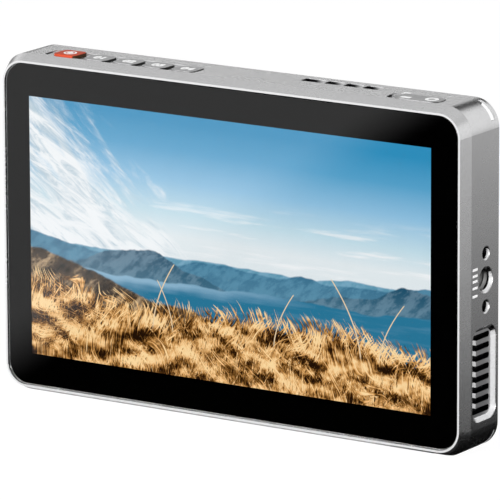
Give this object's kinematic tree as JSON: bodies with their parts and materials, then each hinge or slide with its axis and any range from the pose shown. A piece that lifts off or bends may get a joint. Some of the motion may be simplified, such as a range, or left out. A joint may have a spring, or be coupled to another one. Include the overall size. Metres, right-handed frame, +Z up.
{
  "type": "camera field monitor",
  "caption": "Slim on-camera touch screen monitor in a metal housing with top keys, side vent, mounting threads and rear battery plate.",
  "frame": {"origin": "centre of the base, at the middle of the overall depth from the front lip to the battery contacts", "axes": "+X to the viewer's right, screen faces -Y, +Z up"},
  "size_m": [0.1412, 0.0242, 0.0901],
  "materials": {
    "housing_metal": "bead-blasted, clear anodised",
    "front_glass": "polished, black printed border",
    "black_foam": "foam tape",
    "clear_adhesive": "clear",
    "display_picture": "lit screen",
    "white_film": "diffusing film",
    "light_guide": "clear acrylic",
    "led_strip": "phosphor and white solder mask",
    "sheet_metal": "rolled sheet",
    "chassis_metal": "stamped sheet",
    "circuit_board": "solder mask",
    "chip_resin": "moulded resin",
    "shield_metal": "tinned sheet",
    "thermal_rubber": "soft gap filler",
    "black_fins": "black anodised",
    "black_plastic": "fine texture",
    "copper_windings": "enamelled wire",
    "grille_metal": "bead-blasted",
    "insert_steel": "machined",
    "red_cap": "satin red",
    "grey_cap": "satin grey",
    "light_pipe": "clear",
    "port_metal": "nickel plated",
    "contact_gold": "gold flash on black resin",
    "flat_cable": "polyimide",
    "rear_cover_plastic": "fine moulded grain",
    "spring_steel": "bright wire",
    "screw_steel": "black zinc"
  },
  "bodies": {
    "monitor": {"backlight_tray": "sheet_metal", "battery_contacts": "contact_gold", "battery_plate": "rear_cover_plastic", "board_screws": "screw_steel", "bracket_screws": "screw_steel", "card_socket": "port_metal", "chassis_plate": "chassis_metal", "chassis_screws": "screw_steel", "contact_block": "black_plastic", "cover_glass": "front_glass", "cover_screws": "screw_steel", "display_flex": "flat_cable", "display_pads": "black_foam", "fan_cover": "black_plastic", "fan_housing": "black_plastic", "fan_screws": "screw_steel", "fan_stator": "copper_windings", "glass_tape": "black_foam", "hdmi_input": "port_metal", "hdmi_output": "port_metal", "hdmi_tongues": "contact_gold", "headphone_jack": "black_plastic", "heat_sink": "black_fins", "housing": "housing_metal", "indicator_pipes": "light_pipe", "key_board": "circuit_board", "key_bracket": "chassis_metal", "key_flex": "flat_cable", "latch_springs": "spring_steel", "lcd_cell": "display_picture", "led_strip": "led_strip", "light_guide": "light_guide", "main_board": "circuit_board", "memory_chips": "chip_resin", "mount_inserts": "insert_steel", "optical_adhesive": "clear_adhesive", "optical_films": "white_film", "plate_screws": "screw_steel", "power_board": "circuit_board", "power_bracket": "chassis_metal", "power_coils": "chip_resin", "processor": "chip_resin", "rear_cover": "rear_cover_plastic", "shield_can": "shield_metal", "slide_switch": "shield_metal", "speaker": "black_plastic", "tact_switches": "shield_metal", "thermal_pad": "thermal_rubber", "touch_flex": "flat_cable", "usb_port": "port_metal", "usb_tongue": "contact_gold", "vent_grille": "grille_metal"},
    "record_button": {"record_button": "red_cap"},
    "key_1": {"key_1": "grey_cap"},
    "key_2": {"key_2": "grey_cap"},
    "key_3": {"key_3": "grey_cap"},
    "key_4": {"key_4": "grey_cap"},
    "power_slider": {"power_slider": "grey_cap"},
    "battery_release": {"battery_release": "grey_cap"},
    "fan_rotor": {"fan_rotor": "black_plastic"}
  },
  "joints": [
    {"name": "record_button_press", "type": "slide", "parent": "monitor", "child": "record_button", "axis": [0, 0, -1], "range_m": [0, 0.0003], "stiffness_N_per_m": 1500, "springref_m": -0.0003},
    {"name": "key_1_press", "type": "slide", "parent": "monitor", "child": "key_1", "axis": [0, 0, -1], "range_m": [0, 0.0003], "stiffness_N_per_m": 1500, "springref_m": -0.0003},
    {"name": "key_2_press", "type": "slide", "parent": "monitor", "child": "key_2", "axis": [0, 0, -1], "range_m": [0, 0.0003], "stiffness_N_per_m": 1500, "springref_m": -0.0003},
    {"name": "key_3_press", "type": "slide", "parent": "monitor", "child": "key_3", "axis": [0, 0, -1], "range_m": [0, 0.0003], "stiffness_N_per_m": 1500, "springref_m": -0.0003},
    {"name": "key_4_press", "type": "slide", "parent": "monitor", "child": "key_4", "axis": [0, 0, -1], "range_m": [0, 0.0003], "stiffness_N_per_m": 1500, "springref_m": -0.0003},
    {"name": "power_slide", "type": "slide", "parent": "monitor", "child": "power_slider", "axis": [-1, 0, 0], "range_m": [0, 0.0022]},
    {"name": "battery_release_press", "type": "slide", "parent": "monitor", "child": "battery_release", "axis": [0, -1, 0], "range_m": [0, 0.0019], "stiffness_N_per_m": 500, "springref_m": -0.0008, "deforming": ["latch_springs"]},
    {"name": "fan_spin", "type": "hinge", "parent": "monitor", "child": "fan_rotor", "pos_m": [0.04555, -0.0035, 0.0214], "axis": [0, 1, 0], "continuous": true}
  ]
}
